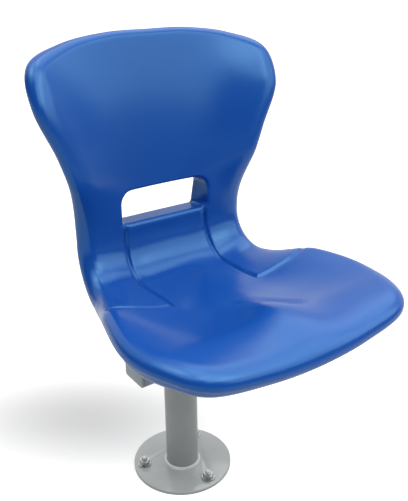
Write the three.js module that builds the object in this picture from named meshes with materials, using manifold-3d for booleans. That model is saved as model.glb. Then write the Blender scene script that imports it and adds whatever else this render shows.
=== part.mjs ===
// Stadium seat: a one-piece double-wall plastic shell on a steel pedestal.
// Units are millimetres, +Z is up, the seat faces -Y and the post axis is the Z axis.
import * as THREE from "three";
import { mergeVertices } from "three/addons/utils/BufferGeometryUtils.js";
import Module from "manifold-3d";

const wasm = await Module();
wasm.setup();

// Clearances and cutting overrun
const seatGap = 0.3;
const cutOverrun = 20;

// Pedestal
const plateDiameter = 184;
const plateThickness = 6;
const plateChamfer = 1;
const postDiameter = 60;
const postWall = 3;
const postTopHeight = 315;
const weldLeg = 4;
const weldSag = 1;
const seamInset = 8;

// Floor anchors
const anchorCount = 3;
const anchorCircle = 146;
const anchorFirstAngle = 37;
const anchorHoleDiameter = 12;
const anchorStudDiameter = 10;
const anchorStudAbovePlate = 16.5;
const anchorNutAcrossFlats = 17;
const anchorNutHeight = 8;
const anchorWasherDiameter = 24;
const anchorWasherThickness = 2;

// Carrier on top of the post
const railSection = 50;
const railWall = 3;
const railCornerRadius = 5;
const railHalfLength = 163;
const railCentreForward = 129;
const endPlateThickness = 3;
const beamWidth = 80;
const beamRearReach = 52;
const gussetThickness = 5;
const gussetReach = 60;
const gussetDrop = 58;
const gussetClip = 12;
const saddleWidth = 164;
const saddleDepth = 60;
const saddleThickness = 6;
const saddleCornerRadius = 8;
const saddleCentreBack = 4;

// Seat fixings
const frontBoltHalfSpacing = 90;
const rearBoltHalfSpacing = 60;
const seatBoltDiameter = 8;
const seatBoltHoleDiameter = 9;
const seatBoltReach = 16;
const seatBoltAcrossFlats = 13;
const seatBoltHeadHeight = 5.5;
const seatWasherDiameter = 18;
const seatWasherThickness = 1.6;
const accessHoleDiameter = 24;
const insertDiameter = 14;
const insertLength = 22;
const insertFlangeDiameter = 20;
const insertFlangeThickness = 2;
const bossDiameter = 40;
const bossDraft = 5;
const bossSink = 14;

// Seat shell, its face measured along the centre line from the front edge over the lip and the pan,
// round the bend that starts at the hip, and up the lumbar part and the upper back
const shellHalfWidth = 224;
const shellThickness = 40.6;
const faceRollWidth = 39;
const rearRollRadius = 13;
const sideDraft = 5.8;
const hipForward = 29.5;
const hipAboveRail = 61.4;
const hipSlope = 0.8;
const lipLength = 105;
const lipTurn = -19.9;
const panLength = 224;
const panTurn = 3.9;
const bendLength = 78;
const bendTurn = 83.1;
const lumbarLength = 145;
const lumbarTurn = 0.4;
const upperBackLength = 173;
const upperBackTurn = -4.7;
const dishDepth = 60;
const dishReach = 200;
const dishPower = 2.2;

// Moulded relief of the shell
const bucketDepth = 19;
const pommelHeight = 13;
const pommelLength = 200;
const pommelFrontHalfWidth = 60;
const pommelRearHalfWidth = 26;
const rearPanelRecess = 7;
const grooveRadius = 4.3;
const grooveDepth = 3.5;

// Slot between seat and back
const slotHalfWidth = 83;
const slotTop = 481;
const slotBottom = 427;
const slotTopCornerRadius = 21;
const slotBottomCornerRadius = 9;
const slotRearCornerRadius = 5;
const slotTopTaper = 7;
const slotBottomTaper = 3.5;
const slotSideTaperAtTop = 4;
const slotSideTaperAtBottom = 12;
const slotEdgeRadius = 5;
const slotLedgeRadius = 12;

// Facet counts
const roundSides = 48;
const boltSides = 20;
const hexagonSides = 6;
const outlineSteps = 3;
const bendOutlineSteps = 5;
const rollSteps = 5;
const faceRings = 8;
const rearRings = 5;
const cornerSteps = 4;
const grooveSides = 8;
const grooveSteps = 14;

const bendStart = lipLength + panLength;
const shellLength = bendStart + bendLength + lumbarLength + upperBackLength;

// Half outline of the shell face: share of its length, share of its half width
const outlineShares = [
  [0, 0], [0.007, 0.379], [0.029, 0.757], [0.093, 0.926], [0.196, 0.997], [0.313, 0.922], [0.424, 0.79],
  [0.523, 0.712], [0.63, 0.719], [0.756, 0.837], [0.86, 0.972], [0.943, 0.934], [0.981, 0.668],
  [0.998, 0.333], [1, 0],
];
// How far the sides stand forward of the centre line: share of the length, share of the dish depth
const dishShares = [
  [0, 0.265], [0.152, 0.13], [0.317, 0.242], [0.455, -0.28], [0.579, 0.04], [0.717, 0.98], [0.855, 0.78],
  [1, 0.278],
];
// Width of the rounded border of the face: share of the length, share of the border's full width
const faceRollShares = [[0, 0.51], [0.42, 0.51], [0.56, 0.7], [0.68, 1], [0.88, 1], [0.95, 0.6], [1, 0.34]];
// Depth of that border: share of the length, share of its own width
const faceRollDepthShares = [[0, 1], [0.42, 1], [0.6, 0.74], [0.68, 0.66], [0.88, 0.66], [0.96, 0.9], [1, 1]];
// How deep the sitting bucket is along the shell: share of the length, share of the bucket depth
const bucketShares = [
  [0, 0], [0.12, 0.03], [0.2, 0.4], [0.32, 1], [0.46, 1], [0.56, 0.35], [0.62, 0], [1, 0],
];
// How high the pommel stands along the shell: share of the length, share of the pommel height
const pommelShares = [[0, 0], [0.04, 0.32], [0.1, 0.8], [0.16, 1], [0.22, 0.55], [0.29, 0], [1, 0]];
// Across the shell the bucket is full inside the first share of the half width and gone at the second
const bucketAcrossShares = [0.35, 0.9];
const rearPanelAcrossShares = [0.45, 0.85];
const rearPanelAlongShares = [0.68, 0.74, 0.9, 0.97];
// Hip grooves: share of the length, share of the half width
const innerGrooveShares = [
  [0.6, 0.34], [0.52, 0.357], [0.483, 0.362], [0.429, 0.366], [0.386, 0.362], [0.34, 0.371],
];
const outerGrooveShares = [
  [0.342, 0.37], [0.337, 0.473], [0.333, 0.571], [0.331, 0.652], [0.334, 0.737], [0.345, 0.83],
];
const centreLineShares = [0.09, 0.91];
// Rounded edge of the slot: how far down and how far out its middle point lies, as shares of its radius
const slotEdgeShares = [0.3, 0.29];
// Chamfer of a hexagon and of a stud's tip, as shares of the height and of the radius
const hexagonChamferShare = 0.2;
const studTipShare = 0.3;

// Materials
const makeFinish = (name, color, roughness, metalness) =>
  new THREE.MeshStandardMaterial({ name, color, roughness, metalness });
const blueShell = makeFinish("blue_shell", 0x1f4fb4, 0.42, 0);
const greySteel = makeFinish("grey_painted_steel", 0x9aa09d, 0.45, 0.2);
const zincSteel = makeFinish("zinc_steel", 0xb9bcbc, 0.3, 0.9);
const insertSteel = makeFinish("insert_steel", 0xc3a86a, 0.35, 0.9);

// Number helpers
const degrees = (angle) => (angle * Math.PI) / 180;
const mix = (a, b, t) => a + (b - a) * t;
const smooth = (from, to, value) => THREE.MathUtils.smoothstep(value, from, to);

// Smooth value at a place in a table of [place, value] rows, without overshoot
function along(table, place) {
  const last = table.length - 1;
  if (place <= table[0][0]) return table[0][1];
  if (place >= table[last][0]) return table[last][1];
  const i = table.findIndex((row) => row[0] > place) - 1;
  const slope = (k) => (table[k + 1][1] - table[k][1]) / (table[k + 1][0] - table[k][0]);
  const tangent = (k) => {
    if (k === 0 || k === last) return slope(Math.min(k, last - 1));
    const before = slope(k - 1);
    const after = slope(k);
    return before * after <= 0 ? 0 : (2 * before * after) / (before + after);
  };
  const span = table[i + 1][0] - table[i][0];
  const t = (place - table[i][0]) / span;
  const rise = 3 * t ** 2 - 2 * t ** 3;
  const startPull = (t ** 3 - 2 * t ** 2 + t) * span * tangent(i);
  const endPull = (t ** 3 - t ** 2) * span * tangent(i + 1);
  return mix(table[i][1], table[i + 1][1], rise) + startPull + endPull;
}

// Solids for joining and cutting
function toSolid(geometry) {
  const bare = geometry.index ? geometry.toNonIndexed() : geometry.clone();
  bare.deleteAttribute("normal");
  bare.deleteAttribute("uv");
  const merged = mergeVertices(bare);
  const vertProperties = new Float32Array(merged.attributes.position.array);
  const triVerts = new Uint32Array(merged.index.array);
  return new wasm.Manifold(new wasm.Mesh({ numProp: 3, vertProperties, triVerts }));
}

function toGeometry(solid) {
  const mesh = solid.getMesh();
  const geometry = new THREE.BufferGeometry();
  const positions = new Float32Array(mesh.vertProperties);
  geometry.setAttribute("position", new THREE.BufferAttribute(positions, mesh.numProp));
  geometry.setIndex(new THREE.BufferAttribute(new Uint32Array(mesh.triVerts), 1));
  geometry.computeVertexNormals();
  return geometry;
}

// Surface through rings of equal count, each point joined to the next ring
function loft(rings, capped) {
  const positions = [];
  const add = (...points) => points.forEach((p) => positions.push(p.x, p.y, p.z));
  const count = rings[0].length;
  for (let r = 0; r + 1 < rings.length; r += 1) {
    for (let i = 0; i < count; i += 1) {
      const j = (i + 1) % count;
      add(rings[r][i], rings[r][j], rings[r + 1][j]);
      add(rings[r][i], rings[r + 1][j], rings[r + 1][i]);
    }
  }
  if (capped) {
    for (const [ring, back] of [[rings[0], true], [rings[rings.length - 1], false]]) {
      const centre = ring.reduce((sum, p) => sum.add(p), new THREE.Vector3()).divideScalar(count);
      ring.forEach((p, i) => {
        const next = ring[(i + 1) % count];
        if (back) add(centre, next, p);
        else add(centre, p, next);
      });
    }
  }
  const geometry = new THREE.BufferGeometry();
  geometry.setAttribute("position", new THREE.Float32BufferAttribute(positions, 3));
  return geometry;
}

// Upright round solid between two heights
function uprightCylinder(bottomRadius, topRadius, low, high, x, y, sides) {
  const geometry = new THREE.CylinderGeometry(topRadius, bottomRadius, high - low, sides);
  geometry.rotateX(Math.PI / 2);
  geometry.translate(x, y, (low + high) / 2);
  return geometry;
}

function roundedRectangle(width, height, radius) {
  const shape = new THREE.Shape();
  const w = width / 2;
  const h = height / 2;
  shape.moveTo(-w + radius, -h);
  shape.lineTo(w - radius, -h);
  shape.absarc(w - radius, -h + radius, radius, -Math.PI / 2, 0);
  shape.lineTo(w, h - radius);
  shape.absarc(w - radius, h - radius, radius, 0, Math.PI / 2);
  shape.lineTo(-w + radius, h);
  shape.absarc(-w + radius, h - radius, radius, Math.PI / 2, Math.PI);
  shape.lineTo(-w, -h + radius);
  shape.absarc(-w + radius, -h + radius, radius, Math.PI, Math.PI * 1.5);
  return shape;
}

function extruded(shape, depth) {
  return new THREE.ExtrudeGeometry(shape, { depth, bevelEnabled: false, curveSegments: cornerSteps });
}

// Arcs of the shell's centre line in the YZ plane: length and turn
const spineArcs = [
  [lipLength, lipTurn], [panLength, panTurn], [bendLength, bendTurn], [lumbarLength, lumbarTurn],
  [upperBackLength, upperBackTurn],
];

// Place and heading at a length from a front edge at the origin
function walkSpine(length) {
  let y = 0;
  let z = 0;
  let heading = degrees(hipSlope - panTurn - lipTurn);
  let left = length;
  spineArcs.forEach(([arcLength, turn], i) => {
    const isLast = i === spineArcs.length - 1;
    const run = isLast ? left : Math.min(left, arcLength);
    const bend = degrees(turn) / arcLength;
    const end = heading + bend * run;
    y += (Math.sin(end) - Math.sin(heading)) / bend;
    z -= (Math.cos(end) - Math.cos(heading)) / bend;
    heading = end;
    left -= run;
  });
  return { y, z, heading };
}

// The same, with the hip at its place behind the rail and over it
const hip = walkSpine(bendStart);
const hipHeight = postTopHeight + railSection + hipAboveRail;

function spineAt(length) {
  const { y, z, heading } = walkSpine(length);
  return { y: y - hip.y - hipForward, z: z - hip.z + hipHeight, heading };
}

// Half width of the face at a length, read from the outline
function halfWidthAt(length) {
  return Math.max(shellHalfWidth * along(outlineShares, length / shellLength), faceRollWidth);
}

// Width and depth of the rounded border of the face at a length
function faceRollAt(length) {
  const width = faceRollWidth * along(faceRollShares, length / shellLength);
  return { width, depth: width * along(faceRollDepthShares, length / shellLength) };
}

// Depth of the sitting bucket and height of the pommel over the plain dished face
function faceRelief(x, length) {
  const across = Math.abs(x) / halfWidthAt(length);
  const fade = 1 - smooth(bucketAcrossShares[0], bucketAcrossShares[1], across);
  const bucket = -bucketDepth * along(bucketShares, length / shellLength);
  const spread = mix(pommelFrontHalfWidth, pommelRearHalfWidth, smooth(0, pommelLength, length));
  const pommel = pommelHeight * along(pommelShares, length / shellLength) * Math.exp(-((x / spread) ** 2));
  return (bucket + pommel) * fade;
}

function rearRelief(x, length) {
  const across = Math.abs(x) / halfWidthAt(length);
  const [start, full, thin, end] = rearPanelAlongShares.map((share) => share * shellLength);
  const lengthwise = smooth(start, full, length) * (1 - smooth(thin, end, length));
  const crosswise = 1 - smooth(rearPanelAcrossShares[0], rearPanelAcrossShares[1], across);
  return rearPanelRecess * lengthwise * crosswise;
}

// Point over the dished face: sideways place, length from the front edge, height along the normal
function shellPoint(x, length, lift) {
  const { y, z, heading } = spineAt(length);
  const dish = dishDepth * along(dishShares, length / shellLength) * (Math.abs(x) / dishReach) ** dishPower;
  const height = dish + lift;
  return new THREE.Vector3(x, y - Math.sin(heading) * height, z + Math.cos(heading) * height);
}

// Closed outline of the face, with the inward normal at each point
function shellOutline() {
  const right = outlineShares.map(([l, w]) => new THREE.Vector3(w * shellHalfWidth, l * shellLength, 0));
  const left = right.slice(1, -1).reverse().map((p) => new THREE.Vector3(-p.x, p.y, 0));
  const curve = new THREE.CatmullRomCurve3([...right, ...left], true, "catmullrom", 0.5);
  const last = right.length - 1;
  const half = right.slice(0, last).flatMap((point, i) => {
    const beforeBend = right[i + 1].y < bendStart;
    const afterBend = point.y > bendStart + bendLength;
    const steps = beforeBend || afterBend ? outlineSteps : bendOutlineSteps;
    return Array.from({ length: steps }, (unused, k) => i + k / steps);
  });
  const mirrored = half.slice(1).reverse();
  return [...half, last, ...mirrored].map((place, i) => {
    const side = i > half.length ? -1 : 1;
    const t = place / (2 * last);
    const p = curve.getPoint(t);
    const tangent = curve.getTangent(t);
    const onAxis = place % last === 0;
    return {
      x: onAxis ? 0 : side * p.x,
      length: p.y,
      inX: onAxis ? 0 : -side * tangent.y,
      inLength: onAxis ? Math.sign(tangent.x) : tangent.x,
      share: place / last,
    };
  });
}

// Rings of the shell from the face's centre line, over the rim, to the rear's centre line
function shellRings() {
  const outline = shellOutline();
  const inset = (p, depth) => ({ x: p.x + p.inX * depth, length: p.length + p.inLength * depth });
  const centre = (p) => {
    const even = mix(centreLineShares[0], centreLineShares[1], p.share);
    const own = mix(centreLineShares[0], centreLineShares[1], p.length / shellLength);
    return { x: 0, length: (shellLength * (even + own)) / 2 };
  };
  const spread = (p, depth, t) => {
    const a = inset(p, depth);
    const b = centre(p);
    return { x: mix(b.x, a.x, t), length: mix(b.length, a.length, t) };
  };
  const rings = [];
  for (let k = 0; k < faceRings; k += 1) {
    rings.push(outline.map((p) => {
      const q = spread(p, faceRollAt(p.length).width, k / faceRings);
      return shellPoint(q.x, q.length, faceRelief(q.x, q.length));
    }));
  }
  for (let k = 0; k <= rollSteps; k += 1) {
    const a = (k / rollSteps) * Math.PI / 2;
    rings.push(outline.map((p) => {
      const { width, depth } = faceRollAt(p.length);
      const q = inset(p, width * (1 - Math.sin(a)));
      const drop = depth * (1 - Math.cos(a));
      return shellPoint(q.x, q.length, faceRelief(q.x, q.length) * (1 - k / rollSteps) - drop);
    }));
  }
  for (let k = 0; k < rollSteps; k += 1) {
    const a = (k / rollSteps) * Math.PI / 2;
    const depth = sideDraft + rearRollRadius * (1 - Math.cos(a));
    const drop = shellThickness - rearRollRadius * (1 - Math.sin(a));
    rings.push(outline.map((p) => {
      const q = inset(p, depth);
      return shellPoint(q.x, q.length, -drop);
    }));
  }
  for (let k = rearRings; k >= 0; k -= 1) {
    rings.push(outline.map((p) => {
      const q = spread(p, sideDraft + rearRollRadius, k / rearRings);
      return shellPoint(q.x, q.length, rearRelief(q.x, q.length) - shellThickness);
    }));
  }
  return rings;
}

// Outline of the slot with rounded corners: in the face at depth share 0, in the rear skin at 1.
// It grows by a share of the edge's radius, which is larger along the ledge at the bottom
function slotOutline(depth, growth) {
  const top = slotTop - slotTopTaper * depth;
  const bottom = slotBottom + slotBottomTaper * depth;
  const topRadius = mix(slotTopCornerRadius, slotRearCornerRadius, depth);
  const bottomRadius = mix(slotBottomCornerRadius, slotRearCornerRadius, depth);
  const corners = [
    [1, bottom, bottomRadius], [1, top, topRadius], [-1, top, topRadius], [-1, bottom, bottomRadius],
  ];
  return corners.flatMap(([side, length, radius], corner) => {
    const centre = length + radius * (length === top ? -1 : 1);
    return Array.from({ length: cornerSteps + 1 }, (unused, k) => {
      const a = (corner - 1 + k / cornerSteps) * Math.PI / 2;
      const ledge = (1 - depth) * Math.max(-Math.sin(a), 0);
      const edge = mix(slotEdgeRadius, slotLedgeRadius, ledge);
      const place = centre + (radius + edge * growth) * Math.sin(a);
      const taper = mix(slotSideTaperAtBottom, slotSideTaperAtTop, (place - bottom) / (top - bottom));
      const half = slotHalfWidth - depth * taper - radius;
      return { x: side * half + (radius + edge * growth) * Math.cos(a), length: place, edge };
    });
  });
}

// Rings from before the face to behind the rear skin: depth share, growth and drop in shares of the edge
function slotCutter() {
  const [down, out] = slotEdgeShares;
  const front = [[0, 1, 0], [0, out, down], [0, 0, 1]];
  const rear = [[1, 0, 1], [1, out, down], [1, 1, 0]];
  const rings = front.map(([depth, growth, drop]) => slotOutline(depth, growth).map((q) =>
    shellPoint(q.x, q.length, faceRelief(q.x, q.length) - drop * q.edge)));
  rings.push(...rear.map(([depth, growth, drop]) => slotOutline(depth, growth).map((q) =>
    shellPoint(q.x, q.length, drop * q.edge - shellThickness))));
  rings.unshift(slotOutline(0, 1).map((q) => shellPoint(q.x, q.length, cutOverrun)));
  rings.push(slotOutline(1, 1).map((q) => shellPoint(q.x, q.length, -shellThickness - cutOverrun)));
  return loft(rings.reverse(), true);
}

// A hip groove along points of the face
function grooveCutter(shares, side) {
  const flat = shares.map(([l, w]) => new THREE.Vector3(side * w * shellHalfWidth, l * shellLength, 0));
  const points = new THREE.CatmullRomCurve3(flat).getSpacedPoints(grooveSteps).map((p) =>
    shellPoint(p.x, p.y, faceRelief(p.x, p.y) + grooveRadius - grooveDepth));
  const circle = new THREE.Shape();
  circle.absarc(0, 0, grooveRadius, 0, Math.PI * 2);
  const extrudePath = new THREE.CatmullRomCurve3(points);
  const curveSegments = grooveSides / 2;
  return new THREE.ExtrudeGeometry(circle, { steps: grooveSteps, extrudePath, curveSegments });
}

// Heights of the carrier, from the post upwards
const railBottom = postTopHeight;
const railTop = railBottom + railSection;
const saddleBottom = railTop + seatGap;
const saddleTop = saddleBottom + saddleThickness;
const railFront = -railCentreForward - railSection / 2;
const railRear = -railCentreForward + railSection / 2;

// The four seat fixings: place, the face that the boss stands on, and the underside of what the bolt clamps
const fixings = [["left", -1], ["right", 1]].flatMap(([name, side]) => [
  {
    name: `front_${name}`, x: side * frontBoltHalfSpacing, y: -railCentreForward,
    seat: railTop, under: railTop - railWall,
  },
  {
    name: `rear_${name}`, x: side * rearBoltHalfSpacing, y: saddleCentreBack,
    seat: saddleTop, under: saddleBottom,
  },
]);

// Height of the shell's rear skin over a place under the pan
function undersideAt(x, y) {
  let best = 0;
  const steps = 60;
  for (let k = 0; k <= steps; k += 1) {
    const length = mix(lipLength, bendStart + bendLength, k / steps);
    const p = shellPoint(x, length, -shellThickness);
    if (k === 0 || Math.abs(p.y - y) < Math.abs(best.y - y)) best = p;
  }
  return best.z;
}

function shellGeometry() {
  let shell = toSolid(loft(shellRings().reverse(), false));
  for (const { x, y, seat } of fixings) {
    const foot = seat + seatGap;
    const top = undersideAt(x, y) + bossSink;
    const radius = bossDiameter / 2;
    const boss = uprightCylinder(radius, radius + bossDraft, foot, top, x, y, roundSides / 2);
    shell = shell.add(toSolid(boss));
  }
  for (const { x, y, seat } of fixings) {
    const foot = seat + seatGap;
    const hole = insertDiameter / 2 + seatGap;
    const flange = insertFlangeDiameter / 2 + seatGap;
    const low = foot - cutOverrun;
    const depth = foot + insertLength + seatGap;
    const shelf = foot + insertFlangeThickness + seatGap;
    shell = shell.subtract(toSolid(uprightCylinder(hole, hole, low, depth, x, y, boltSides)));
    shell = shell.subtract(toSolid(uprightCylinder(flange, flange, low, shelf, x, y, boltSides)));
  }
  shell = shell.subtract(toSolid(slotCutter()));
  for (const side of [-1, 1]) {
    shell = shell.subtract(toSolid(grooveCutter(innerGrooveShares, side)));
    shell = shell.subtract(toSolid(grooveCutter(outerGrooveShares, side)));
  }
  return toGeometry(shell);
}

// Threaded insert: a flanged bush with a bore
function insertGeometry({ x, y, seat }) {
  const bore = seatBoltDiameter / 2 + seatGap;
  const body = insertDiameter / 2;
  const flange = insertFlangeDiameter / 2;
  const foot = seat + seatGap;
  const shelf = foot + insertFlangeThickness;
  const top = foot + insertLength;
  const profile = [
    [bore, foot], [flange, foot], [flange, shelf], [body, shelf], [body, top], [bore, top], [bore, foot],
  ];
  return lathed(profile, boltSides).translate(x, y, 0);
}

// Revolved solid about the Z axis from rows of [radius, height], going anticlockwise round its section
function lathed(profile, sides) {
  const geometry = new THREE.LatheGeometry(profile.map(([r, z]) => new THREE.Vector2(r, z)), sides);
  geometry.rotateX(Math.PI / 2);
  return geometry;
}

function hexagonGeometry(acrossFlats, bore, low, high) {
  const radius = acrossFlats / 2 / Math.cos(Math.PI / hexagonSides);
  const solid = toSolid(uprightCylinder(radius, radius, low, high, 0, 0, hexagonSides));
  const chamfer = (high - low) * hexagonChamferShare;
  const far = radius + cutOverrun;
  const cone = lathed([
    [0, low - cutOverrun], [far, low - cutOverrun], [far, high - cutOverrun],
    [radius + chamfer, high - 2 * chamfer], [acrossFlats / 2, high], [0, high],
  ], boltSides);
  const shaped = solid.intersect(toSolid(cone));
  if (bore === 0) return toGeometry(shaped);
  const hole = uprightCylinder(bore, bore, low - cutOverrun, high + cutOverrun, 0, 0, boltSides);
  return toGeometry(shaped.subtract(toSolid(hole)));
}

function washerGeometry(outer, inner, low, high, sides) {
  return lathed([[inner, low], [outer, low], [outer, high], [inner, high], [inner, low]], sides);
}

// Hexagon bolt seen from its head downwards: the head lies below its washer
function seatBoltGeometry(headTop, tip) {
  const headBottom = headTop - seatBoltHeadHeight;
  const head = hexagonGeometry(seatBoltAcrossFlats, 0, -headTop, -headBottom);
  head.rotateX(Math.PI);
  const radius = seatBoltDiameter / 2;
  const shank = uprightCylinder(radius, radius, headTop - seatBoltHeadHeight / 2, tip, 0, 0, boltSides);
  return toGeometry(toSolid(head).add(toSolid(shank)));
}

function basePlateGeometry() {
  const radius = plateDiameter / 2;
  const disc = lathed([
    [0, 0], [radius, 0], [radius, plateThickness - plateChamfer], [radius - plateChamfer, plateThickness],
    [0, plateThickness],
  ], roundSides * 2);
  let plate = toSolid(disc);
  for (const { x, y } of anchors) {
    const hole = anchorHoleDiameter / 2;
    const low = -cutOverrun;
    const high = plateThickness + cutOverrun;
    plate = plate.subtract(toSolid(uprightCylinder(hole, hole, low, high, x, y, boltSides)));
  }
  return toGeometry(plate);
}

const anchors = Array.from({ length: anchorCount }, (unused, k) => {
  const angle = degrees(anchorFirstAngle + (k * 360) / anchorCount);
  return { x: (anchorCircle / 2) * Math.cos(angle), y: (anchorCircle / 2) * Math.sin(angle) };
});

function postGeometry() {
  const outer = postDiameter / 2;
  const low = plateThickness + seatGap;
  return washerGeometry(outer, outer - postWall, low, postTopHeight - seatGap, roundSides);
}

// Fillet weld round the post, with a slightly hollow face
function weldGeometry(height, up) {
  const inner = postDiameter / 2 + seatGap;
  const foot = height + up * seatGap;
  const middle = (weldLeg - weldSag) / 2;
  const rows = [
    [inner, foot], [inner + weldLeg, foot],
    [inner + middle, foot + up * middle], [inner, foot + up * weldLeg],
  ];
  const section = up > 0 ? rows : rows.reverse();
  return lathed([...section, section[0]], roundSides);
}

function hollowSection(width, height, length) {
  const shape = roundedRectangle(width, height, railCornerRadius);
  const inner = roundedRectangle(width - 2 * railWall, height - 2 * railWall, railCornerRadius - railWall);
  shape.holes.push(inner);
  return extruded(shape, length);
}

function frontRailGeometry() {
  const length = 2 * (railHalfLength - endPlateThickness - seatGap);
  const tube = hollowSection(railSection, railSection, length);
  tube.rotateY(Math.PI / 2);
  tube.translate(-length / 2, -railCentreForward, railBottom + railSection / 2);
  let rail = toSolid(tube);
  for (const { x, y, under } of fixings.filter((f) => f.y < railRear)) {
    const bolt = seatBoltHoleDiameter / 2;
    const access = accessHoleDiameter / 2;
    const low = railBottom - cutOverrun;
    const middle = railBottom + railSection / 2;
    rail = rail.subtract(toSolid(uprightCylinder(bolt, bolt, middle, under + cutOverrun, x, y, boltSides)));
    rail = rail.subtract(toSolid(uprightCylinder(access, access, low, middle, x, y, boltSides)));
  }
  return toGeometry(rail);
}

function endPlateGeometry(width, height) {
  return extruded(roundedRectangle(width, height, railCornerRadius), endPlateThickness);
}

function beamGeometry() {
  const front = railRear + seatGap;
  const rear = beamRearReach - endPlateThickness - seatGap;
  const tube = hollowSection(beamWidth, railSection, rear - front);
  tube.rotateX(-Math.PI / 2);
  tube.translate(0, front, railBottom + railSection / 2);
  return tube;
}

function gussetGeometry() {
  const start = postDiameter / 2 + seatGap;
  const top = railBottom - seatGap;
  const shape = new THREE.Shape();
  shape.moveTo(start + gussetClip, top);
  shape.lineTo(start, top - gussetClip);
  shape.lineTo(start, top - gussetDrop);
  shape.lineTo(start + gussetClip, top - gussetDrop);
  shape.lineTo(start + gussetReach, top - gussetClip);
  shape.lineTo(start + gussetReach, top);
  const plate = extruded(shape, gussetThickness);
  plate.rotateX(Math.PI / 2);
  plate.rotateZ(-Math.PI / 2);
  plate.translate(gussetThickness / 2, 0, 0);
  return plate;
}

// Straight fillet weld in the corner of two faces that point to +X and +Y, from Z zero upwards
function seamGeometry(length) {
  const shape = new THREE.Shape();
  const middle = (weldLeg - weldSag) / 2;
  shape.moveTo(0, 0);
  shape.lineTo(weldLeg, 0);
  shape.lineTo(middle, middle);
  shape.lineTo(0, weldLeg);
  return extruded(shape, length);
}

function saddleGeometry() {
  const blank = extruded(roundedRectangle(saddleWidth, saddleDepth, saddleCornerRadius), saddleThickness);
  blank.translate(0, saddleCentreBack, saddleBottom);
  let plate = toSolid(blank);
  for (const { x, y, under } of fixings.filter((f) => f.y > railRear)) {
    const bolt = seatBoltHoleDiameter / 2;
    const high = under + saddleThickness + cutOverrun;
    plate = plate.subtract(toSolid(uprightCylinder(bolt, bolt, under - cutOverrun, high, x, y, boltSides)));
  }
  return toGeometry(plate);
}

const seat = new THREE.Group();

function addPart(name, geometry, material, x = 0, y = 0, z = 0) {
  const mesh = new THREE.Mesh(geometry, material);
  mesh.name = name;
  mesh.position.set(x, y, z);
  seat.add(mesh);
}

addPart("seat_shell", shellGeometry(), blueShell);
addPart("base_plate", basePlateGeometry(), greySteel);
addPart("post_tube", postGeometry(), greySteel);
addPart("post_foot_weld", weldGeometry(plateThickness, 1), greySteel);
addPart("post_head_weld", weldGeometry(postTopHeight, -1), greySteel);
addPart("front_rail", frontRailGeometry(), greySteel);
addPart("carrier_beam", beamGeometry(), greySteel);
addPart("beam_gusset", gussetGeometry(), greySteel);
addPart("rear_saddle", saddleGeometry(), greySteel);

for (const [name, side] of [["left", -1], ["right", 1]]) {
  const plate = endPlateGeometry(railSection, railSection);
  plate.rotateY(Math.PI / 2);
  plate.translate(-endPlateThickness / 2, 0, 0);
  const x = side * (railHalfLength - endPlateThickness / 2);
  addPart(`rail_end_plate_${name}`, plate, greySteel, x, -railCentreForward, railBottom + railSection / 2);
}
const beamEnd = endPlateGeometry(beamWidth, railSection);
beamEnd.rotateX(-Math.PI / 2);
const beamEndPlace = beamRearReach - endPlateThickness;
addPart("beam_end_plate", beamEnd, greySteel, 0, beamEndPlace, railBottom + railSection / 2);

// Seams of the beam's sides against the rail and under the saddle
for (const [name, side] of [["left", -1], ["right", 1]]) {
  const x = side * (beamWidth / 2 + seatGap);
  const saddleFront = saddleCentreBack - saddleDepth / 2;
  const upright = seamGeometry(railSection - 2 * seamInset);
  const lying = seamGeometry(saddleDepth - 2 * seamInset);
  lying.rotateX(-Math.PI / 2);
  if (side < 0) {
    upright.rotateZ(Math.PI / 2);
    lying.rotateY(Math.PI / 2);
  }
  addPart(`rail_seam_${name}`, upright, greySteel, x, railRear + seatGap, railBottom + seamInset);
  addPart(`saddle_seam_${name}`, lying, greySteel, x, saddleFront + seamInset, railTop);
}

for (const fixing of fixings) {
  const { name, x, y, under } = fixing;
  const washerTop = under - seatGap;
  const washerBottom = washerTop - seatWasherThickness;
  const inner = seatBoltDiameter / 2 + seatGap;
  const washer = washerGeometry(seatWasherDiameter / 2, inner, washerBottom, washerTop, boltSides);
  addPart(`insert_${name}`, insertGeometry(fixing), insertSteel);
  addPart(`seat_washer_${name}`, washer, zincSteel, x, y);
  const tip = fixing.seat + seatBoltReach;
  addPart(`seat_bolt_${name}`, seatBoltGeometry(washerBottom - seatGap, tip), zincSteel, x, y);
}

anchors.forEach(({ x, y }, k) => {
  const radius = anchorStudDiameter / 2;
  const inner = radius + seatGap;
  const washerBottom = plateThickness + seatGap;
  const washerTop = washerBottom + anchorWasherThickness;
  const nutBottom = washerTop + seatGap;
  const studTop = plateThickness + anchorStudAbovePlate;
  const tip = radius * studTipShare;
  const stud = lathed([
    [0, seatGap], [radius, seatGap], [radius, studTop - tip], [radius - tip, studTop], [0, studTop],
  ], boltSides);
  const washer = washerGeometry(anchorWasherDiameter / 2, inner, washerBottom, washerTop, boltSides);
  const nut = hexagonGeometry(anchorNutAcrossFlats, inner, nutBottom, nutBottom + anchorNutHeight);
  addPart(`anchor_stud_${k + 1}`, stud, zincSteel, x, y);
  addPart(`anchor_washer_${k + 1}`, washer, zincSteel, x, y);
  addPart(`anchor_nut_${k + 1}`, nut, zincSteel, x, y);
});

export default seat;
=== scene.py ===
import math

import bmesh
import bpy
import numpy as np
from mathutils import Matrix, Vector
from mathutils.geometry import delaunay_2d_cdt
from mathutils.kdtree import KDTree


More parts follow.
